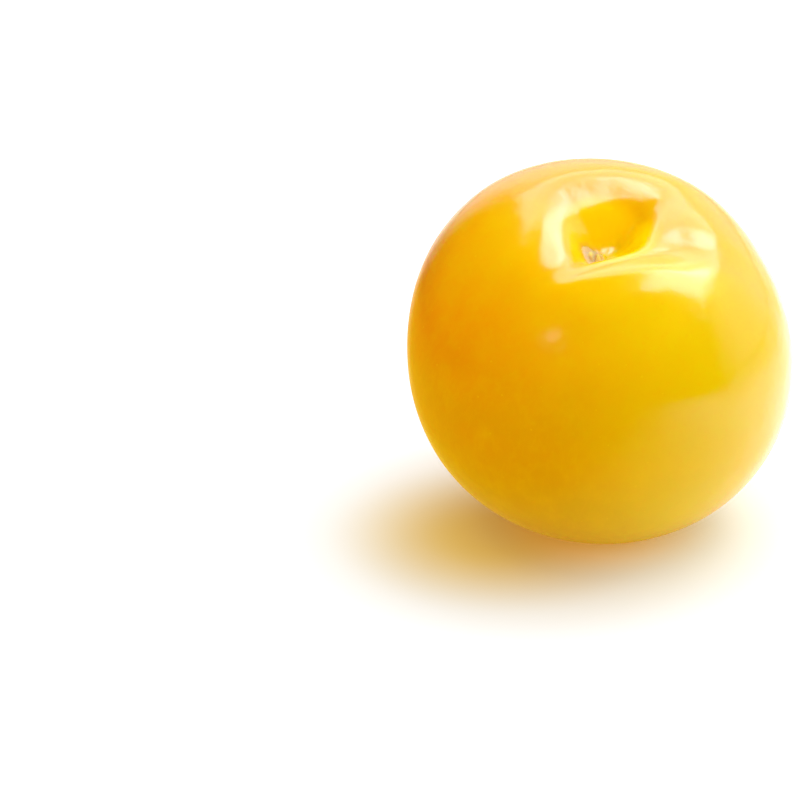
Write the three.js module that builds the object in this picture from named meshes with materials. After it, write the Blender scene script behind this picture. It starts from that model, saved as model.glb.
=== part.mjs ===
// A ripe yellow plum, built at real size as one closed solid.
//
// The fruit is described in its own frame first: the stem axis is +Z, and
// every point of the skin is given by its polar angle (0 at the stem end, 180
// degrees at the blossom end) and its azimuth, measured from the front (-Y)
// towards the right (+X). Round the stem the skin is also mapped flat, like a
// small plan drawing: so many millimetres to the right and so many to the
// front of the stem axis. The fruit is then leaned over and set down on the
// small flat spot that a ripe plum rests on.
//
// Units are millimetres, +Z is up and the front faces -Y.
import * as THREE from 'three';

// ---- Driving dimensions -----------------------------------------------------

const WIDEST_RADIUS = 26.0;      // half the diameter at the waist
const STEM_END_HEIGHT = 24.2;    // centre to the stem end, before the hollow is sunk
const BLOSSOM_END_HEIGHT = 24.6; // centre to the blossom end
const FULLNESS = 2.15;           // 2 is an ellipsoid, more is squarer in the shoulder
const PLAN_RADIUS = 24.0;        // millimetres of plan for each radian from the stem

const LEAN_FORWARD = 22.0;       // degrees the stem end leans to the front
const LEAN_RIGHT = -0.5;         // degrees it leans to the right
const FLAT_SPOT_DEPTH = 0.5;     // how far the skin is flattened where it rests

// The hollow round the stem scar is a steep well, sunk in a wider bowl with
// gentle sides. Both are rounded polygons in plan: each wall is the azimuth it
// faces and its distance from the stem axis.
const WELL = {
  depth: 5.2,
  steepness: 3.8,
  cornering: 5.0,
  walls: [
    { azimuth: -90, distance: 4.9 },
    { azimuth: 5, distance: 5.2 },
    { azimuth: 27, distance: 4.4 },
    { azimuth: 76, distance: 4.8 },
    { azimuth: 180, distance: 6.0 },
    { azimuth: -148, distance: 4.9 },
  ],
};
const BOWL = {
  depth: 1.8,
  steepness: 5.5,
  cornering: 6.0,
  walls: [
    { azimuth: -97, distance: 7.7 },
    { azimuth: 3, distance: 8.9 },
    { azimuth: 15, distance: 8.4 },
    { azimuth: 90, distance: 11.5 },
    { azimuth: 180, distance: 10.8 },
    { azimuth: -150, distance: 9.8 },
  ],
};

// The fruit's front lip: a narrow crease inside the bowl, and a rounded roll
// of skin outside it.
const LIP_FOLDS = [
  { azimuth: 20, distance: 6.4, height: -0.2, width: 0.6, middle: -1.0, reach: 7.0 },
  { azimuth: 15, distance: 11.8, height: 0.35, width: 3.0, middle: 0.0, reach: 12.0 },
];

// Round marks of the stem end: a low lump on the left of the rim, two shallow
// dimples behind the well, and the scar that the stalk has left.
const STEM_END_MARKS = [
  { right: -12.0, front: 5.0, radius: 4.0, height: 0.3 },
  { right: 0, front: -4.0, radius: 12.0, height: -0.2 },
  { right: 1.5, front: -5.0, radius: 3.6, height: -0.5 },
  { right: -1.8, front: 0.6, radius: 1.5, height: -0.6 },
];

// The seam: a faint valley that leaves the bowl and runs down the side.
const SEAM = { azimuth: 80, depth: 0.3, width: 2.8, start: 11.0, lead: 2.5, length: 14.0 };

// Where the flesh has swollen more or less than a perfect turning would give.
const SWELLS = [
  { azimuth: -130, polar: 50, spread: 35, height: 1.1 },
  { azimuth: 80, polar: 135, spread: 35, height: 0.9 },
  { azimuth: 100, polar: 58, spread: 25, height: -1.3 },
];
const BLOSSOM_TIP = { depth: 0.8, width: 9 };

// The grid the skin is laid out on.
const COLUMNS = 72;              // around the stem axis
const HOLLOW_ROWS = 24;          // from the stem axis to the shoulder
const SIDE_ROWS = 22;            // from the shoulder to the blossom end
const SHOULDER_ANGLE = 44;       // degrees from the stem, where the two meet

// ---- Small helpers ----------------------------------------------------------

const radians = THREE.MathUtils.degToRad;
const bump = (x, width) => Math.exp(-((x / width) ** 2));
const plateau = (x, reach, flatness) => Math.exp(-((Math.abs(x) / reach) ** flatness));
const wrapped = (angle) => Math.atan2(Math.sin(angle), Math.cos(angle));

function direction(polar, azimuth) {
  return new THREE.Vector3(
    Math.sin(polar) * Math.sin(azimuth),
    -Math.sin(polar) * Math.cos(azimuth),
    Math.cos(polar),
  );
}

// Where a point of the skin lies on the plan round the stem axis.
function onPlan(polar, azimuth) {
  const away = PLAN_RADIUS * polar;
  return { right: away * Math.sin(azimuth), front: away * Math.cos(azimuth) };
}

// How far a plan point lies out towards an azimuth, and how far along it.
function outTowards(plan, azimuth) {
  const angle = radians(azimuth);
  return plan.right * Math.sin(angle) + plan.front * Math.cos(angle);
}

function alongWall(plan, azimuth) {
  const angle = radians(azimuth);
  return plan.right * Math.cos(angle) - plan.front * Math.sin(angle);
}

// ---- The skin ---------------------------------------------------------------

// The full body with no hollow: a slightly squared, slightly squat ball.
function bodyRadius(polar) {
  const out = Math.abs(Math.sin(polar)) / WIDEST_RADIUS;
  const height = Math.cos(polar) > 0 ? STEM_END_HEIGHT : BLOSSOM_END_HEIGHT;
  const along = Math.abs(Math.cos(polar)) / height;
  return (out ** FULLNESS + along ** FULLNESS) ** (-1 / FULLNESS);
}

// How much a hollow takes away: all of its depth inside its walls, none outside.
function hollowDepth(hollow, plan) {
  let reach = 0;
  for (const wall of hollow.walls) {
    const crossed = Math.max(0, outTowards(plan, wall.azimuth) / wall.distance);
    reach += crossed ** hollow.cornering;
  }
  reach **= 1 / hollow.cornering;
  return hollow.depth * plateau(reach, 1, hollow.steepness);
}

// The round marks, and the crease and the roll of the front lip.
function rimHeight(plan) {
  let height = 0;
  for (const mark of STEM_END_MARKS) {
    const away = Math.hypot(plan.right - mark.right, plan.front - mark.front);
    height += mark.height * bump(away, mark.radius);
  }
  for (const fold of LIP_FOLDS) {
    const across = outTowards(plan, fold.azimuth) - fold.distance;
    const along = alongWall(plan, fold.azimuth) - fold.middle;
    height += fold.height * bump(across, fold.width) * plateau(along, fold.reach, 4);
  }
  return height;
}

// The seam only exists on its own side of the fruit, and fades down the side.
function seamDepth(polar, azimuth) {
  const away = wrapped(azimuth - radians(SEAM.azimuth));
  if (Math.cos(away) <= 0) return 0;
  const across = away * Math.sin(polar) * PLAN_RADIUS;
  const along = PLAN_RADIUS * polar - SEAM.start;
  return SEAM.depth * bump(across, SEAM.width) * bump(along, along < 0 ? SEAM.lead : SEAM.length);
}

function swellHeight(polar, azimuth) {
  const here = direction(polar, azimuth);
  let height = 0;
  for (const swell of SWELLS) {
    const there = direction(radians(swell.polar), radians(swell.azimuth));
    height += swell.height * bump(here.angleTo(there), radians(swell.spread));
  }
  return height;
}

function skinPoint(polar, azimuth) {
  const plan = onPlan(polar, azimuth);
  const hollow = hollowDepth(WELL, plan) + hollowDepth(BOWL, plan);
  const tip = BLOSSOM_TIP.depth * bump(Math.PI - polar, radians(BLOSSOM_TIP.width));
  const taken = hollow + seamDepth(polar, azimuth) + tip;
  const added = rimHeight(plan) + swellHeight(polar, azimuth);
  return direction(polar, azimuth).multiplyScalar(bodyRadius(polar) - taken + added);
}

// Polar angle of each row: close together in the hollow, wider down the side.
function rowAngle(row) {
  if (row <= HOLLOW_ROWS) return radians((SHOULDER_ANGLE * row) / HOLLOW_ROWS);
  const down = (row - HOLLOW_ROWS) / SIDE_ROWS;
  return radians(SHOULDER_ANGLE + (180 - SHOULDER_ANGLE) * down);
}

// ---- The solid --------------------------------------------------------------

// One point at each end and a ring of points for every row between them.
function skinPoints() {
  const lastRow = HOLLOW_ROWS + SIDE_ROWS;
  const points = [skinPoint(0, 0)];
  for (let row = 1; row < lastRow; row += 1) {
    for (let column = 0; column < COLUMNS; column += 1) {
      points.push(skinPoint(rowAngle(row), (2 * Math.PI * column) / COLUMNS));
    }
  }
  points.push(skinPoint(Math.PI, 0));
  return points;
}

// Leans the fruit over, flattens the lowest skin and centres it on the origin.
function setDown(points) {
  const lean = new THREE.Matrix4().makeRotationY(radians(LEAN_RIGHT));
  lean.multiply(new THREE.Matrix4().makeRotationX(radians(LEAN_FORWARD)));
  for (const point of points) point.applyMatrix4(lean);
  const box = new THREE.Box3().setFromPoints(points);
  const table = box.min.z + FLAT_SPOT_DEPTH;
  const centre = box.getCenter(new THREE.Vector3());
  for (const point of points) {
    point.z = Math.max(point.z, table);
    point.sub(new THREE.Vector3(centre.x, centre.y, table));
  }
  return points;
}

// Triangles wound so that they face out.
function skinFaces() {
  const lastRow = HOLLOW_ROWS + SIDE_ROWS;
  const blossomEnd = 1 + (lastRow - 1) * COLUMNS;
  const at = (row, column) => 1 + (row - 1) * COLUMNS + (column % COLUMNS);
  const faces = [];
  for (let column = 0; column < COLUMNS; column += 1) {
    faces.push(0, at(1, column), at(1, column + 1));
    for (let row = 1; row < lastRow - 1; row += 1) {
      const a = at(row, column);
      const b = at(row + 1, column);
      const c = at(row + 1, column + 1);
      const d = at(row, column + 1);
      faces.push(a, b, c, a, c, d);
    }
    faces.push(at(lastRow - 1, column), blossomEnd, at(lastRow - 1, column + 1));
  }
  return faces;
}

const geometry = new THREE.BufferGeometry();
geometry.setFromPoints(setDown(skinPoints()));
geometry.setIndex(skinFaces());
geometry.computeVertexNormals();

const skin = new THREE.MeshStandardMaterial({ color: 0xf2b40c, roughness: 0.25, metalness: 0 });
const plum = new THREE.Mesh(geometry, skin);
plum.name = 'plum';

const group = new THREE.Group();
group.name = 'yellow_plum';
group.add(plum);

export default group;
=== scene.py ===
# %% [markdown]
# # A ripe yellow plum
#
# One large yellow dessert plum lies on a white table. Its stem hollow leans
# towards the front, and it rests on the small flat spot that its own weight
# has pressed into it.
#
# A fruit looks like a ball with paint on it unless three things are right: the
# outline, which is never quite round, the hollow where the stalk was, and the
# skin, which is glossy on top and lets light into the flesh below it. The
# cells below take these in turn: first the form, then the skin, then the light.
#
# The plum starts from the packed solid, which fixes its size and its place.

# %% The packed solid
import math

import bpy
import numpy as np
from mathutils import Matrix, Quaternion, Vector, noise


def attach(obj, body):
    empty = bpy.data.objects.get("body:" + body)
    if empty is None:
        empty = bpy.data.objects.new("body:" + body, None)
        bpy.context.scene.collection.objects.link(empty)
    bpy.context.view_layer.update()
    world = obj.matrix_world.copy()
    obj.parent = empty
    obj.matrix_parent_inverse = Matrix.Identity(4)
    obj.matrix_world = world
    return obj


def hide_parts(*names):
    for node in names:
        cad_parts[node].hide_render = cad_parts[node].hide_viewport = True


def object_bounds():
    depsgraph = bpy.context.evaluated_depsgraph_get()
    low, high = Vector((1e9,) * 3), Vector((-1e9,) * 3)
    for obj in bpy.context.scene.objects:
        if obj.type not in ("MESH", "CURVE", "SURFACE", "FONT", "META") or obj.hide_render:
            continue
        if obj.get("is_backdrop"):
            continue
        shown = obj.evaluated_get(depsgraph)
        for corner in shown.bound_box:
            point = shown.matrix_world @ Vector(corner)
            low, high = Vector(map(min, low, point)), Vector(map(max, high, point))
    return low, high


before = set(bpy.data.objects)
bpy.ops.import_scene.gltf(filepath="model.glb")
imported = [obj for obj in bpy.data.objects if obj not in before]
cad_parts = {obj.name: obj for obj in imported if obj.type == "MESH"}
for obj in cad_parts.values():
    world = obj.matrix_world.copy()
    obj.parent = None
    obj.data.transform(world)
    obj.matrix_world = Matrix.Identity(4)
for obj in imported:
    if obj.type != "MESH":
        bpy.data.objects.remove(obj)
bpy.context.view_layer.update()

print("nodes:", sorted(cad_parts))

# %% [markdown]
# ## The body of the fruit
#
# A plum is a turned form: a slightly squared ball, a little shorter along the
# stem axis than it is wide. It could be sculpted from a sphere, but a formula
# is easier to keep exact: each point of the skin is a polar angle from the stem
# end, an azimuth from the front towards the right, and a distance from the
# middle. The packed solid uses the same formula, so the fine skin made here
# lies on it everywhere.

# %% Sizes of the body, in millimetres
WIDEST_RADIUS = 26.0
STEM_END_HEIGHT = 24.2
BLOSSOM_END_HEIGHT = 24.6
FULLNESS = 2.15  # 2 would be an ellipsoid
PLAN_RADIUS = 24.0

LEAN_FORWARD = 22.0
LEAN_RIGHT = -0.5
FLAT_SPOT_DEPTH = 0.5


# %% Helpers for smooth forms
def bump(distance, width):
    """A soft hill: 1 in the middle, nearly 0 two widths away."""
    return np.exp(-((distance / width) ** 2))


def plateau(distance, reach, flatness):
    """A hill with a flat top and steep sides."""
    return np.exp(-((np.abs(distance) / reach) ** flatness))


def body_radius(polar):
    """The full body with no hollow in it."""
    out = np.abs(np.sin(polar)) / WIDEST_RADIUS
    height = np.where(np.cos(polar) > 0, STEM_END_HEIGHT, BLOSSOM_END_HEIGHT)
    along = np.abs(np.cos(polar)) / height
    return (out**FULLNESS + along**FULLNESS) ** (-1 / FULLNESS)


print("waist radius:", round(float(body_radius(np.array(math.pi / 2))), 2), "mm")

# %% [markdown]
# ## The stem hollow
#
# Where the stalk was, the flesh has grown up round it. It leaves a steep well
# with flattened walls, sunk in a wider bowl with gentle sides, and at the front
# the skin is folded: a narrow crease inside the bowl and a rounded roll outside
# it. The rim has a low hill at the left and dips at the back. This is where most
# of the highlights break, so the walls are placed one by one. The hollow is
# drawn on a flat plan round the stem axis: so many millimetres to the right, and
# so many to the front.

# %% Sizes of the hollow, in millimetres
# Each wall is an azimuth in degrees and its distance from the stem axis.
WELL = {"depth": 5.2, "steepness": 3.8, "cornering": 5.0}
WELL["walls"] = [(-90, 4.9), (5, 5.2), (27, 4.4), (76, 4.8), (180, 6.0), (-148, 4.9)]
BOWL = {"depth": 1.8, "steepness": 5.5, "cornering": 6.0}
BOWL["walls"] = [(-97, 7.7), (3, 8.9), (15, 8.4), (90, 11.5), (180, 10.8), (-150, 9.8)]
RIM_HILLS = [
    {"right": -12.0, "front": 5.0, "radius": 4.0, "height": 0.3},
    {"right": 0.0, "front": -4.0, "radius": 12.0, "height": -0.2},
    {"right": 1.5, "front": -5.0, "radius": 3.6, "height": -0.5},
]
LIP_FOLDS = [
    {"azimuth": 20, "distance": 6.4, "height": -0.2, "width": 0.6, "middle": -1.0, "reach": 7.0},
    {"azimuth": 15, "distance": 11.8, "height": 0.35, "width": 3.0, "middle": 0.0, "reach": 12.0},
]
SCAR = {"right": -1.8, "front": 0.6, "radius": 1.5, "height": -0.6}


# %% The hollow as heights on the plan
def out_towards(right, front, azimuth):
    """How far a plan point lies out towards an azimuth."""
    angle = math.radians(azimuth)
    return right * math.sin(angle) + front * math.cos(angle)


def hollow_depth(hollow, right, front):
    """All of a hollow's depth inside its walls, and none outside them."""
    reach = 0
    for azimuth, distance in hollow["walls"]:
        crossed = np.maximum(0, out_towards(right, front, azimuth) / distance)
        reach = reach + crossed ** hollow["cornering"]
    reach = reach ** (1 / hollow["cornering"])
    return hollow["depth"] * plateau(reach, 1, hollow["steepness"])


def rim_height(right, front):
    """The folds of the front lip, the hills and dimples of the rim, and the scar."""
    height = 0
    for place in [*RIM_HILLS, SCAR]:
        away = np.hypot(right - place["right"], front - place["front"])
        height = height + place["height"] * bump(away, place["radius"])
    for fold in LIP_FOLDS:
        across = out_towards(right, front, fold["azimuth"]) - fold["distance"]
        along = out_towards(right, front, fold["azimuth"] + 90) - fold["middle"]
        height = height + fold["height"] * bump(across, fold["width"]) * plateau(along, fold["reach"], 4)
    return height


print("well depth at the stem axis:", round(float(hollow_depth(WELL, 0.0, 0.0)), 2), "mm")

# %% [markdown]
# ## Seam, swellings and blossom tip
#
# A plum carries a seam from the stem to the blossom end, where the two edges of
# the flower's one seed leaf met. On a ripe fruit it is a faint valley that
# starts at the bowl and fades down the side. The flesh also swells unevenly,
# which is what keeps the outline from looking turned on a lathe. The blossom
# end is a small dimple.

# %% Sizes of the seam and the swellings
SEAM = {"azimuth": 80, "depth": 0.3, "width": 2.8, "start": 11.0, "lead": 2.5, "length": 14.0}
SWELLS = [(-130, 50, 35, 1.1), (80, 135, 35, 0.9), (100, 58, 25, -1.3)]  # azimuth, polar, spread, height
TIP_DEPTH = 0.8
TIP_WIDTH = 9


# %% The seam and the swellings as heights
def direction(polar, azimuth):
    """Unit vectors from the middle of the fruit, stem axis up."""
    across = np.sin(polar)
    return np.stack([across * np.sin(azimuth), -across * np.cos(azimuth), np.cos(polar)], -1)


def seam_depth(polar, azimuth):
    away = azimuth - math.radians(SEAM["azimuth"])
    away = np.arctan2(np.sin(away), np.cos(away))
    across = away * np.sin(polar) * PLAN_RADIUS
    along = PLAN_RADIUS * polar - SEAM["start"]
    fade = np.where(along < 0, bump(along, SEAM["lead"]), bump(along, SEAM["length"]))
    return SEAM["depth"] * bump(across, SEAM["width"]) * fade * (np.cos(away) > 0)


def swell_height(directions):
    height = 0
    for azimuth, polar, spread, rise in SWELLS:
        middle = direction(math.radians(polar), math.radians(azimuth))
        away = np.arccos(np.clip(directions @ middle, -1, 1))
        height = height + rise * bump(away, math.radians(spread))
    return height


print("seam starts", SEAM["start"], "mm from the stem axis;", len(SWELLS), "swellings")

# %% [markdown]
# ## Fine relief of the skin
#
# On a real plum the skin over the flesh is never quite smooth: it ripples by a
# few hundredths of a millimetre, and it puckers into small folds that run down
# the walls of the well. These make highlights break up at their edges. Where
# the stalk tore away, a low ring of tissue is left with a few shreds standing in
# it. All of this is real displacement of the mesh. It is too fine for the solid,
# and it comes from fixed noise, so it is the same at each run.

# %% Ripples and puckers
RIPPLE_HEIGHT = 0.035
RIPPLE_SIZE = 5.0
PUCKER_HEIGHT = 0.10
PUCKER_REACH = 7.5
PUCKER_COUNT = 3.2
PUCKER_LENGTH = 9.0
PUCKER_SEED = Vector((7.3, 1.9, 4.1))


def ripple_height(way_out):
    """Shallow ripples all over the skin."""
    return RIPPLE_HEIGHT * noise.noise(way_out * (WIDEST_RADIUS / RIPPLE_SIZE))


def pucker_height(away, turn):
    """Small folds down the walls of the well, none at its very middle."""
    around = Vector((math.sin(turn), math.cos(turn), 0)) * PUCKER_COUNT
    around.z = away / PUCKER_LENGTH
    fold = noise.noise(around + PUCKER_SEED)
    shown = math.exp(-((away / PUCKER_REACH) ** 4)) * (1 - math.exp(-((away / 2) ** 2)))
    return PUCKER_HEIGHT * fold * shown


print("puckers reach", PUCKER_REACH, "mm from the stem axis")

# %% The torn scar
RING_HEIGHT = 0.22
RING_WIDTH = 0.35
TORN_HEIGHT = 0.28
TORN_FINENESS = 1.9
TORN_SEED = Vector((0, 0, 0.4))
SHREDS = [(0.3, 0.5, 0.5, 1.8), (-0.9, -0.2, 0.4, 1.3), (1.1, -0.5, 0.6, 0.9)]  # right, front, width, tall


def scar_height(spot):
    """The ring of the scar, its rough floor and its shreds; spot starts at its middle."""
    torn = noise.noise(spot * TORN_FINENESS + TORN_SEED)
    ring = math.exp(-(((spot.length - SCAR["radius"]) / RING_WIDTH) ** 2))
    inside = math.exp(-((spot.length / SCAR["radius"]) ** 6))
    height = RING_HEIGHT * ring * (1 + 0.5 * torn) + TORN_HEIGHT * inside * torn
    for right, front, width, tall in SHREDS:
        away = math.hypot(spot.x - right, spot.y - front)
        height += tall * math.exp(-((away / width) ** 2))
    return height


def fine_relief(polar, azimuth, directions):
    """Millimetres that the fine relief adds, point by point."""
    relief = []
    for angle, turn, way_out in zip(polar.ravel(), azimuth.ravel(), directions.reshape(-1, 3)):
        away = PLAN_RADIUS * angle
        height = ripple_height(Vector(way_out))
        if away < 3 * PUCKER_REACH:
            height += pucker_height(away, turn)
        spot = Vector((away * math.sin(turn) - SCAR["right"], away * math.cos(turn) - SCAR["front"], 0))
        if spot.length < 3 * SCAR["radius"]:
            height += scar_height(spot)
        relief.append(height)
    return np.array(relief).reshape(polar.shape)


print("tallest shred:", max(shred[3] for shred in SHREDS), "mm")

# %% [markdown]
# ## The fine skin mesh
#
# The skin is one closed grid of four-sided faces wrapped round the stem axis,
# with one point at each end. Rows are closest together in the hollow, where the
# form turns fastest. The grid could be made coarse and subdivided, but each
# extra point can come straight from the formula, which keeps the creases crisp.

# %% Points of the skin
COLUMNS = 360
ROWS = 262
ROW_CROWDING = 1.5  # 1 would space the rows evenly


def skin_grid():
    """Rings of points in millimetres, in the fruit's own frame, stem axis up."""
    steps = np.arange(1, ROWS) / ROWS
    rows = math.pi * steps**ROW_CROWDING
    columns = 2 * math.pi * np.arange(COLUMNS) / COLUMNS
    polar, azimuth = np.meshgrid(rows, columns, indexing="ij")
    right = PLAN_RADIUS * polar * np.sin(azimuth)
    front = PLAN_RADIUS * polar * np.cos(azimuth)
    directions = direction(polar, azimuth)
    radius = body_radius(polar) - hollow_depth(WELL, right, front) - hollow_depth(BOWL, right, front)
    radius += rim_height(right, front) - seam_depth(polar, azimuth) + swell_height(directions)
    radius -= TIP_DEPTH * bump(math.pi - polar, math.radians(TIP_WIDTH))
    radius += fine_relief(polar, azimuth, directions)
    return radius[..., None] * directions


def set_down(points):
    """Leans the fruit, presses its flat spot and centres it on the origin."""
    lean = Matrix.Rotation(math.radians(LEAN_RIGHT), 3, "Y")
    lean = lean @ Matrix.Rotation(math.radians(LEAN_FORWARD), 3, "X")
    points = points @ np.array(lean).T
    table = points[:, 2].min() + FLAT_SPOT_DEPTH
    points[:, 2] = np.maximum(points[:, 2], table)
    middle = (points.min(0) + points.max(0)) / 2
    offset = np.array([middle[0], middle[1], table])
    return points - offset, lean, offset


rings = skin_grid()
ends = np.array([rings[0].mean(0), rings[-1].mean(0)])
points, lean, offset = set_down(np.vstack([rings.reshape(-1, 3), ends]))
print("skin points:", len(points))
print("skin spans", np.round(np.ptp(points, axis=0), 1), "mm")


# %% Faces of the skin
def skin_faces():
    """Four-sided faces between the rings, and a fan of triangles at each end."""
    faces = []
    stem_point = (ROWS - 1) * COLUMNS
    blossom_point = stem_point + 1
    last_ring = (ROWS - 2) * COLUMNS
    for column in range(COLUMNS):
        following = (column + 1) % COLUMNS
        faces.append((stem_point, column, following))
        for row in range(ROWS - 2):
            above = row * COLUMNS
            below = above + COLUMNS
            faces.append((above + column, below + column, below + following, above + following))
        faces.append((last_ring + column, blossom_point, last_ring + following))
    return faces


skin_mesh = bpy.data.meshes.new("plum_skin")
skin_mesh.from_pydata((points / 1000).tolist(), [], skin_faces())
skin_mesh.polygons.foreach_set("use_smooth", [True] * len(skin_mesh.polygons))
skin_mesh.update()
plum_skin = bpy.data.objects.new("plum_skin", skin_mesh)
bpy.context.scene.collection.objects.link(plum_skin)
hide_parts("plum")
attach(plum_skin, "root")
print("skin triangles:", sum(len(face.vertices) - 2 for face in skin_mesh.polygons))

# %% [markdown]
# ## Writing a material as sums
#
# A material is a network of nodes, and most of it is arithmetic on masks. The
# class below wraps one output socket, so that an expression such as
# `1 - mask * 0.5` adds the Math nodes for it. Colours and vectors can't go
# through Math nodes, which would turn them grey, so they have their own calls.


# %% A socket with arithmetic
class Wire:
    """One output of a node. Arithmetic on it adds Math nodes to its tree."""

    def __init__(self, tree, socket=None):
        self.tree = tree
        self.socket = socket

    def node(self, kind, settings=None, inputs=None, output=0):
        """Makes any node: its settings first, then its sockets' values or links."""
        made = self.tree.nodes.new(kind)
        for name, value in (settings or {}).items():
            setattr(made, name, value)
        for name, value in (inputs or {}).items():
            if isinstance(value, Wire):
                self.tree.links.new(value.socket, made.inputs[name])
            else:
                made.inputs[name].default_value = value
        return Wire(self.tree, made.outputs[output] if len(made.outputs) else None)

    def output(self, name):
        """Another output of the same node."""
        return Wire(self.tree, self.socket.node.outputs[name])

    def math(self, operation, first, second=0.0):
        return self.node("ShaderNodeMath", {"operation": operation}, {0: first, 1: second})

    def __add__(self, other):
        return self.math("ADD", self, other)

    def __radd__(self, other):
        return self.math("ADD", other, self)

    def __sub__(self, other):
        return self.math("SUBTRACT", self, other)

    def __rsub__(self, other):
        return self.math("SUBTRACT", other, self)

    def __mul__(self, other):
        return self.math("MULTIPLY", self, other)

    def __rmul__(self, other):
        return self.math("MULTIPLY", other, self)

    def __truediv__(self, other):
        return self.math("DIVIDE", self, other)

    def __pow__(self, other):
        return self.math("POWER", self, other)

    def greater(self, other):
        return self.math("MAXIMUM", self, other)

    def apart_from(self, other):
        """How far it is from another value, never below 0."""
        return self.math("ABSOLUTE", self - other)

    def rise(self, low, high):
        """0 below low, 1 above high and smooth between; high may be the lower one."""
        settings = {"interpolation_type": "SMOOTHSTEP"}
        if low <= high:
            return self.node("ShaderNodeMapRange", settings, {0: self, 1: low, 2: high})
        return 1 - self.node("ShaderNodeMapRange", settings, {0: self, 1: high, 2: low})

    def mixed(self, first, second):
        """A colour: first where this mask is 0, second where it is 1."""
        settings = {"data_type": "RGBA", "clamp_factor": True}
        return self.node("ShaderNodeMix", settings, {0: self, 6: first, 7: second}, 2)


def new_material(name):
    """An empty material, and a wire to start its network from."""
    material = bpy.data.materials.new(name)
    material.use_nodes = True
    material.node_tree.nodes.clear()
    return material, Wire(material.node_tree)


print("Wire:", [name for name in vars(Wire) if not name.startswith("__")])

# %% [markdown]
# ## Where on the fruit
#
# Marks on a plum follow its stem, so the skin's material works in the fruit's own frame and in millimetres.
# A Mapping node undoes the lean and the shift that set the fruit down. From there, the distance from the
# stem axis and the height along it place the scar, the painted light in the hollow and the blossom point.
# The broad changes of colour are painted light and shade, so they follow the table's frame instead.

# %% Coordinates for the skin
skin, skin_start = new_material("ripe_yellow_plum_skin")
table_place = skin_start.node("ShaderNodeTexCoord", {}, {}, "Object")
unlean = lean.transposed()
shift = unlean @ Vector(offset)
fruit_place = skin_start.node(
    "ShaderNodeMapping",
    {"vector_type": "POINT"},
    {"Vector": table_place, "Location": shift, "Rotation": unlean.to_euler(), "Scale": (1000, 1000, 1000)},
)
to_right = fruit_place.node("ShaderNodeSeparateXYZ", {}, {0: fruit_place}, "X")
to_back = to_right.output("Y")
to_stem = to_right.output("Z")
from_axis = (to_right * to_right + to_back * to_back) ** 0.5
stem_side = to_stem.rise(0.0, 6.0)

metres_right = table_place.node("ShaderNodeSeparateXYZ", {}, {0: table_place}, "X")
right_of_middle = metres_right * 1000
above_table = metres_right.output("Z") * 1000
print("stem axis points to", [round(value, 2) for value in lean @ Vector((0, 0, 1))])


# %% Helpers for noise on the skin
def blotches(size, detail=2.0, roughness=0.5, place=fruit_place):
    """Soft cloudy noise from 0 to 1, with features about size millimetres across."""
    inputs = {"Vector": place, "Scale": 1 / size, "Detail": detail, "Roughness": roughness}
    return place.node("ShaderNodeTexNoise", {}, inputs)


def dots(size, radius):
    """Round dots with soft edges, one in each cell about size millimetres across."""
    inputs = {"Vector": fruit_place, "Scale": 1 / size, "Randomness": 1.0}
    cell = fruit_place.node("ShaderNodeTexVoronoi", {"feature": "F1"}, inputs, "Distance")
    chance = cell.node("ShaderNodeSeparateColor", {}, {0: cell.output("Color")}, 0)
    size_of_dot = (chance * 0.7 + 0.5) * (radius / size)
    return (1 - cell / size_of_dot).rise(0.0, 0.6), chance


# %% [markdown]
# ## Colour of the skin
#
# A ripe yellow plum is not one yellow. Light and shade are painted into its ground colour: the left side,
# away from the lights, is painted a deeper orange, and the right side a clear yellow that is palest at the
# top, where the light from above falls. The underside is painted a darker ochre as shade, lighter towards
# the right. The flesh shows through as soft clouds and as faint veins that run from the stem to the tip.
# Thousands of pale breathing pores dot the skin, and a few tiny brown specks are where something touched it
# on the tree. The ground colours are mixed with masks, broad ones first, so each layer can be judged alone.

# %% Ground colour
ORANGE = (0.790, 0.270, 0.0001, 1)
GOLDEN = (0.800, 0.450, 0.0001, 1)
YELLOW = (0.770, 0.560, 0.0004, 1)
SHADED_OCHRE = (0.560, 0.375, 0.0001, 1)
LIT_OCHRE = (0.620, 0.540, 0.0004, 1)
LIT_CROWN_YELLOW = (0.880, 0.630, 0.0004, 1)
MIDDLE_HEIGHT = 25

clouds = blotches(14.0) - 0.5
# Painted light and shade: the skin is painted yellower towards the right and the top, where the lights
# fall, deeper orange towards the left, and a darker ochre low down, where shade falls.
painted_light_side = right_of_middle + (above_table - MIDDLE_HEIGHT) * 0.7 + clouds * 14
cloudy_height = above_table + clouds * 8
lit_crown = cloudy_height.rise(34.0, 40.0) * painted_light_side.rise(2.0, 26.0) * from_axis.rise(8.0, 13.0)
painted_low_shade = cloudy_height.rise(36.0, 22.0) * 0.55 + cloudy_height.rise(22.0, 8.0) * 0.4
painted_low_lit_side = (right_of_middle + clouds * 8).rise(-12.0, 14.0)

colour = painted_light_side.rise(-24.0, 4.0).mixed(ORANGE, GOLDEN)
colour = painted_light_side.rise(-4.0, 24.0).mixed(colour, YELLOW)
colour = (lit_crown * 0.8).mixed(colour, LIT_CROWN_YELLOW)
colour = painted_low_shade.mixed(colour, painted_low_lit_side.mixed(SHADED_OCHRE, LIT_OCHRE))
print("ground colour:", len(skin.node_tree.nodes), "nodes")

# %% Clouds, veins and grains in the flesh
PALE_FLESH = (0.780, 0.560, 0.0010, 1)

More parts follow.
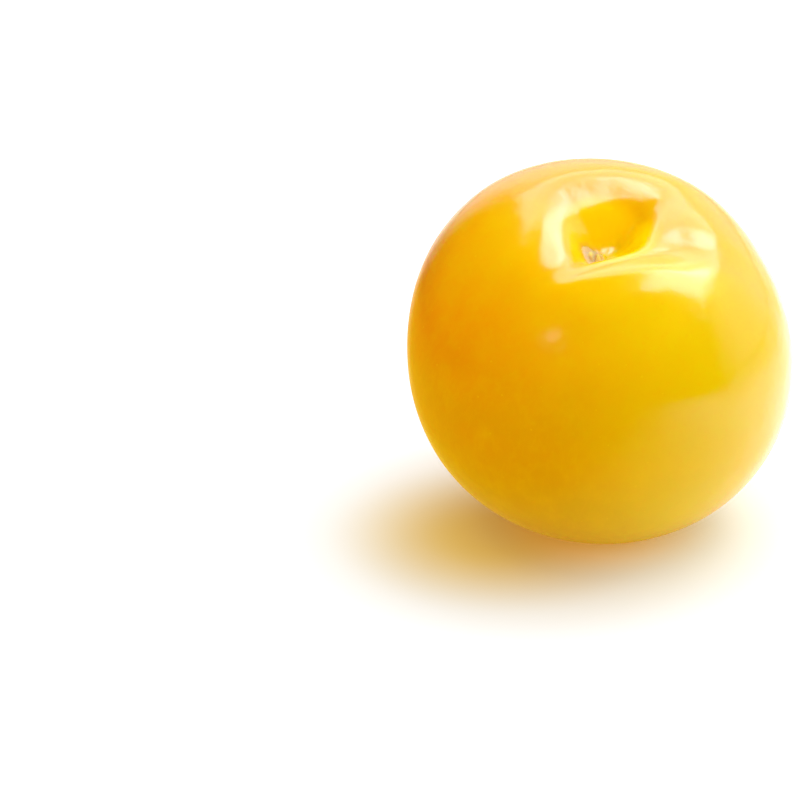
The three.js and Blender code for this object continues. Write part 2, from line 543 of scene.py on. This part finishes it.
long_place = fruit_place.node(
    "ShaderNodeMapping", {"vector_type": "POINT"}, {"Vector": fruit_place, "Scale": (1, 1, 0.22)}
)
flesh_clouds = blotches(4.5, 3.0, 0.6).rise(0.42, 0.75)
veins = blotches(1.3, 2.0, 0.5, long_place)
vein_lines = veins.apart_from(0.5).rise(0.05, 0.0)
grains = blotches(0.5, 2.0, 0.6)
colour = (flesh_clouds * 0.16).mixed(colour, PALE_FLESH)
colour = (vein_lines * 0.06).mixed(colour, PALE_FLESH)
colour = (grains.rise(0.55, 0.8) * 0.12).mixed(colour, ORANGE)
print("with flesh:", len(skin.node_tree.nodes), "nodes")

# %% Pores and specks
PALE_PORE = (0.86, 0.68, 0.02, 1)
BROWN_SPECK = (0.22, 0.09, 0.01, 1)

pore_dots, pore_chance = dots(1.7, 0.16)
pores = pore_dots * pore_chance.rise(0.25, 0.6)
speck_dots, speck_chance = dots(6.5, 0.26)
specks = speck_dots * speck_chance.rise(0.80, 0.9)
colour = (pores * 0.30).mixed(colour, PALE_PORE)
colour = (specks * 0.65).mixed(colour, BROWN_SPECK)
print("with pores and specks:", len(skin.node_tree.nodes), "nodes")

# %% [markdown]
# ## Scar, hollow and tip
#
# The stalk has torn away and left a dry, straw-coloured scar with a ragged rim.
# The hollow is painted a clear yellow, painted light that lifts the shade of the deep well, and the rim
# behind it is a deeper orange. At the other end a corky point is left from the flower. Scar and point get
# their edges from noise, because torn tissue is never round.

# %% Masks for the marks at the two ends
ragged = blotches(1.0, 3.0, 0.7) - 0.5
scar_right = to_right - SCAR["right"]
scar_back = to_back + SCAR["front"]
scar_edge = (scar_right * scar_right + scar_back * scar_back) ** 0.5 + ragged * 0.9
scar = scar_edge.rise(1.65, 1.25) * stem_side
scar_rim = scar_edge.rise(2.3, 1.7) * stem_side
# Painted light: the hollow round the stem axis is painted a brighter yellow than its shade would leave it.
painted_hollow_light = (from_axis + clouds * 3).rise(7.2, 4.6) * stem_side
back_rim = (from_axis + clouds * 6).rise(26.0, 9.0) * (to_back + to_right * 0.5).rise(-4.0, 4.0)
tip_side = to_stem.rise(-10.0, -16.0)
tip = (from_axis + ragged * 0.8).rise(0.9, 0.5) * tip_side
tip_ring = (from_axis + ragged * 1.5).rise(3.2, 1.0) * tip_side
print("with masks for the marks:", len(skin.node_tree.nodes), "nodes")

# %% Colours of the marks
DEEP_ORANGE = (0.80, 0.36, 0.0002, 1)
LIT_HOLLOW_YELLOW = (0.95, 0.62, 0.001, 1)
SCAR_EDGE = (0.70, 0.40, 0.020, 1)
DARK_STRAW = (0.62, 0.36, 0.08, 1)
LIGHT_STRAW = (0.90, 0.76, 0.42, 1)
TIP_EDGE = (0.55, 0.30, 0.03, 1)
CORK = (0.13, 0.06, 0.02, 1)

colour = (back_rim * stem_side * 0.55).mixed(colour, DEEP_ORANGE)
colour = (painted_hollow_light * 0.9).mixed(colour, LIT_HOLLOW_YELLOW)
colour = (scar_rim * 0.6).mixed(colour, SCAR_EDGE)
colour = scar.mixed(colour, blotches(0.35, 3.0, 0.7).mixed(DARK_STRAW, LIGHT_STRAW))
colour = (tip_ring * 0.35).mixed(colour, TIP_EDGE)
colour = tip.mixed(colour, CORK)
print("with scar, hollow and tip:", len(skin.node_tree.nodes), "nodes")

# %% [markdown]
# ## Gloss and relief
#
# Wax makes the skin shine, but not evenly: where the bloom has been rubbed off
# it is glossier. Roughness carries that. Small ripples, pores and grains break
# the surface, and a Bump node carries them, with its height in millimetres. The
# dry scar and the corky tip have no shine.

# %% Gloss and bump
wax = blotches(7.0, 3.0, 0.55).rise(0.35, 0.75)
gloss = 0.130 + wax * 0.035 + grains * 0.02
dull = scar.greater(tip).greater(specks * 0.6)
gloss = gloss + dull * 0.5

orange_peel = blotches(0.9, 2.0, 0.5)
ripple = blotches(2.8, 1.5, 0.5)
relief = orange_peel * 0.005 + ripple * 0.080 + grains * 0.0015 + pores * 0.008
relief = relief - specks * 0.02 + scar * blotches(0.3, 3.0, 0.7) * 0.25
bumped = relief.node("ShaderNodeBump", {}, {"Strength": 1.0, "Distance": 0.001, "Height": relief})
print("with gloss and bump:", len(skin.node_tree.nodes), "nodes")

# %% [markdown]
# ## Light in the flesh
#
# Part of the light that meets the skin goes into the flesh, scatters for a few
# millimetres and comes out again, redder the further it has gone. That is what
# makes the shadowed side glow. The subsurface part of the Principled shader
# does this with one weight, one scale and one radius for each colour.

# %% The skin's shader
principled = skin_start.node(
    "ShaderNodeBsdfPrincipled",
    {"subsurface_method": "RANDOM_WALK"},
    {
        "Base Color": colour,
        "Roughness": gloss,
        "Normal": bumped,
        "IOR": 1.45,
        "Subsurface Weight": 1.0,
        "Subsurface Radius": (1.0, 0.45, 0.08),
        "Subsurface Scale": 0.006,
    },
)
skin_start.node("ShaderNodeOutputMaterial", {}, {"Surface": principled})
skin_mesh.materials.append(skin)
print("skin material:", len(skin.node_tree.nodes), "nodes")

# %% [markdown]
# ## The table
#
# The fruit lies on a plain white table. Close to the fruit its shadow is painted into the white as a cream
# and then warm tint, and a painted glow, made with emission, stands for the light that has passed through
# the flesh or has come off the skin. The fruit itself doesn't see this table, neither in its gloss nor as
# light from below: another plane, just under it, stands in for it, so that the deep colour of the underside
# stays clear.

# %% White table
WHITE = (0.90, 0.94, 0.99, 1)
SHADOW_CREAM = (0.84, 0.82, 0.72, 1)
WARM_SHADE = (0.80, 0.58, 0.15, 1)
NO_GLOW = (0.0, 0.0, 0.0, 1)
FLESH_GLOW = (0.26, 0.13, 0.012, 1)

SHADE_MIDDLE = (-0.014, -0.006, 0)
GLOW_MIDDLE = (0.001, -0.002, 0)


def level_square(name, half, height, material):
    """A level square centred under the fruit."""
    mesh = bpy.data.meshes.new(name)
    corners = [(-half, -half, height), (half, -half, height), (half, half, height), (-half, half, height)]
    mesh.from_pydata(corners, [], [(0, 1, 2, 3)])
    mesh.materials.append(material)
    square = bpy.data.objects.new(name, mesh)
    bpy.context.scene.collection.objects.link(square)
    return square


def metres_from(point, middle):
    """Distance on the table from a middle."""
    return point.node("ShaderNodeVectorMath", {"operation": "DISTANCE"}, {0: point, 1: middle}, "Value")


table_paint, paint_start = new_material("white_table")
table = level_square("table", 3.0, 0.0, table_paint)
table.visible_glossy = False
table.visible_diffuse = False
table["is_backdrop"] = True

table_point = paint_start.node("ShaderNodeTexCoord", {}, {}, "Object")
from_shade = metres_from(table_point, SHADE_MIDDLE)
from_fruit = metres_from(table_point, GLOW_MIDDLE)
# Painted shadow: cream, then warm shade round the fruit; painted light: an emission glow just next to it.
paint_colour = from_shade.rise(0.040, 0.009).mixed(WHITE, SHADOW_CREAM)
paint_colour = from_shade.rise(0.024, 0.004).mixed(paint_colour, WARM_SHADE)
glow = from_fruit.rise(0.017, 0.006).mixed(NO_GLOW, FLESH_GLOW)
table_shader = paint_start.node(
    "ShaderNodeBsdfPrincipled",
    {},
    {
        "Base Color": paint_colour,
        "Roughness": 0.9,
        "Specular IOR Level": 0.1,
        "Emission Color": glow,
        "Emission Strength": 1.0,
    },
)
paint_start.node("ShaderNodeOutputMaterial", {}, {"Surface": table_shader})
print("table paint:", len(table_paint.node_tree.nodes), "nodes")

# %% [markdown]
# ## Studio light
#
# A glossy fruit is lit as a product is: what it mirrors is arranged apart from
# what lights it. A long soft box stands behind it and a window to its right, and
# only reflections see them. They draw the bright ring round the hollow and the
# patch on the right shoulder. A wider, dimmer light in the same place softens
# the edges of each, and a small lamp at the front left adds a faint glint.
# Mirrored light has a touch of rose, because on a skin this yellow a pure white
# one looks green. Two wide soft lights, which only the matt part of the surface
# sees, give the form its shading. Each light is named for its job and placed by
# azimuth and elevation round the fruit.

# %% Lights
FRUIT_MIDDLE = Vector((0, 0, 0.03))
LIGHT_DISTANCE = 0.6
ROSE_WHITE = (1.0, 0.84, 1.0)


def soft_light(name, azimuth, elevation, width, height, radiance, mirrored, spin=0):
    """A rectangle of light that faces the fruit; mirrored ones show only in the gloss."""
    turn = math.radians(azimuth)
    climb = math.radians(elevation)
    towards = Vector((math.sin(turn) * math.cos(climb), -math.cos(turn) * math.cos(climb), math.sin(climb)))
    data = bpy.data.lights.new(name, "AREA")
    data.shape = "RECTANGLE"
    data.size = width
    data.size_y = height
    data.energy = radiance * math.pi * width * height
    if mirrored:
        data.color = ROSE_WHITE
    light = bpy.data.objects.new(name, data)
    light.location = FRUIT_MIDDLE + towards * LIGHT_DISTANCE
    light.rotation_mode = "QUATERNION"
    spun = Quaternion((0, 0, 1), math.radians(spin))
    light.rotation_quaternion = (-towards).to_track_quat("-Z", "Y") @ spun
    light.visible_camera = False
    light.visible_glossy = mirrored
    light.visible_diffuse = not mirrored
    bpy.context.scene.collection.objects.link(light)
    return light


soft_light("back_soft_box", 160, 54, 0.72, 0.32, 3.4, True, spin=12)
soft_light("back_soft_box_edge", 160, 54, 0.80, 0.40, 1.2, True, spin=12)
soft_light("right_window", 97, 56, 0.43, 0.37, 8.0, True)
soft_light("right_window_edge", 97, 56, 0.53, 0.46, 3.0, True)
soft_light("small_lamp", -35, 31, 0.10, 0.05, 3.0, True)
soft_light("key", 130, 58, 0.72, 0.44, 1.4, False)
soft_light("fill", -10, 35, 0.50, 0.50, 0.5, False)
print("lights:", sorted(light.name for light in bpy.data.lights))

# %% [markdown]
# ## The room
#
# The room is white to the eye and gives an even light. In reflections it is dark
# in front, where nothing is lit, and light behind and to the right, where the
# white backdrop curves round the table. The world shader chooses by the kind of
# ray, and for reflections by its direction. The world isn't sampled as a lamp,
# because that would bring the even light into the gloss too.

# %% World
EVEN_LIGHT = 1.14
UNLIT_ROOM = 0.02
BACKDROP_LIGHT = 1.1
BACKDROP_AZIMUTH = 140
BACKDROP_EDGE = (0.25, 0.62)  # cosines where it starts and where it is full

world = bpy.data.worlds.new("studio")
world.use_nodes = True
world.node_tree.nodes.clear()
world.cycles.sampling_method = "NONE"
bpy.context.scene.world = world
room = Wire(world.node_tree)
ray = room.node("ShaderNodeTexCoord", {}, {}, "Generated")
ray_x = room.node("ShaderNodeSeparateXYZ", {}, {0: ray}, "X")
ray_y = ray_x.output("Y")
ray_z = ray_x.output("Z")


def room_towards(azimuth):
    """1 for rays that leave towards an azimuth, -1 for the ones away from it."""
    turn = math.radians(azimuth)
    return ray_x * math.sin(turn) - ray_y * math.cos(turn)


backdrop = room_towards(BACKDROP_AZIMUTH).rise(*BACKDROP_EDGE) * BACKDROP_LIGHT
backdrop = backdrop * (1 + ray_z.rise(0.0, 0.45) * 0.3)
backdrop = backdrop * (1 - ray_z.rise(0.45, 0.85) * 0.95)
backdrop = backdrop * ray_z.rise(-0.04, 0.02)
mirrored_room = backdrop.greater(UNLIT_ROOM)
camera_ray = room.node("ShaderNodeLightPath", {}, {}, "Is Camera Ray")
mirror_ray = camera_ray.output("Is Glossy Ray")
brightness = mirror_ray * mirrored_room + (1 - mirror_ray) * EVEN_LIGHT
brightness = (1 - camera_ray) * brightness + camera_ray
tint = mirror_ray.mixed((1, 1, 1, 1), (*ROSE_WHITE, 1))
background = room.node("ShaderNodeBackground", {}, {"Color": tint, "Strength": brightness})
room.node("ShaderNodeOutputWorld", {}, {"Surface": background})
print("world:", len(world.node_tree.nodes), "nodes")

# %% [markdown]
# ## Light off the table
#
# The table throws light back up: warm next to the fruit, where the light has
# come off the skin, and white on the sunlit side. A glowing plane just under the
# table, which only the fruit sees, stands for it, so that this light can be set
# apart from the table's own. Further away it fades into the room, so that the
# gloss shows no hard horizon.

# %% Mirrored table
UNDER_FRUIT = (0.62, 0.31, 0.02, 1)
WARM_TABLE = (1.10, 0.72, 0.02, 1)
SUNLIT_TABLE = (2.3, 1.95, 2.2, 1)

gleam_paint, gleam_start = new_material("table_gleam")
gleam = level_square("table_gleam", 1.0, -0.0005, gleam_paint)
gleam.visible_camera = False
gleam.visible_shadow = False
gleam.visible_transmission = False
gleam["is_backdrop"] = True

gleam_point = gleam_start.node("ShaderNodeTexCoord", {}, {}, "Object")
gleam_x = gleam_point.node("ShaderNodeSeparateXYZ", {}, {0: gleam_point}, "X")
gleam_y = gleam_x.output("Y")
from_middle = (gleam_x * gleam_x + gleam_y * gleam_y) ** 0.5


def table_towards(azimuth):
    """Metres along the table from below the fruit out towards an azimuth."""
    turn = math.radians(azimuth)
    return gleam_x * math.sin(turn) - gleam_y * math.cos(turn)


lit = table_towards(115).rise(-0.03, 0.08).mixed(WARM_TABLE, SUNLIT_TABLE)
lit = from_middle.rise(0.007, 0.030).mixed(UNDER_FRUIT, lit)
behind = (table_towards(BACKDROP_AZIMUTH) / from_middle).rise(*BACKDROP_EDGE)
horizon = behind.mixed((*[UNLIT_ROOM] * 3, 1), (*[BACKDROP_LIGHT] * 3, 1))
lit = from_middle.rise(0.045, 0.30).mixed(lit, horizon)
emission = gleam_start.node("ShaderNodeEmission", {}, {"Color": lit, "Strength": 1.0})
gleam_start.node("ShaderNodeOutputMaterial", {}, {"Surface": emission})
print("mirrored table:", len(gleam_paint.node_tree.nodes), "nodes")

# %% [markdown]
# ## The camera
#
# The camera stands back with a long lens, as for a product, so that the fruit
# keeps its true proportions, and looks down on it by 24 degrees. The fruit sits
# to the right of the middle of the view and a little above it.

# %% Camera
CAMERA_CLIMB = math.radians(24)
LENS = 120.0
SENSOR_WIDTH = 36.0
VIEW_WIDTH = 0.1081
FRUIT_RIGHT_OF_MIDDLE = 0.25 * VIEW_WIDTH
FRUIT_ABOVE_MIDDLE = 0.0625 * VIEW_WIDTH

skin_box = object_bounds()
fruit_centre = Vector((0, 0, skin_box[1].z / 2))
looking = Vector((0, math.cos(CAMERA_CLIMB), -math.sin(CAMERA_CLIMB)))
upwards = Vector((0, math.sin(CAMERA_CLIMB), math.cos(CAMERA_CLIMB)))
camera_distance = VIEW_WIDTH * LENS / SENSOR_WIDTH
camera_data = bpy.data.cameras.new("camera")
camera_data.lens = LENS
camera_data.sensor_width = SENSOR_WIDTH
camera_data.clip_start = 0.01
camera = bpy.data.objects.new("camera", camera_data)
camera.location = fruit_centre - looking * camera_distance
camera.location -= Vector((1, 0, 0)) * FRUIT_RIGHT_OF_MIDDLE + upwards * FRUIT_ABOVE_MIDDLE
camera.rotation_mode = "QUATERNION"
camera.rotation_quaternion = looking.to_track_quat("-Z", "Y")
bpy.context.scene.collection.objects.link(camera)
bpy.context.scene.camera = camera
bpy.context.scene.view_settings.view_transform = "Standard"
print("camera is", round(camera_distance, 3), "m from the fruit")

# %% [markdown]
# ## Size
#
# The fine skin has to fill the same box as the packed solid.
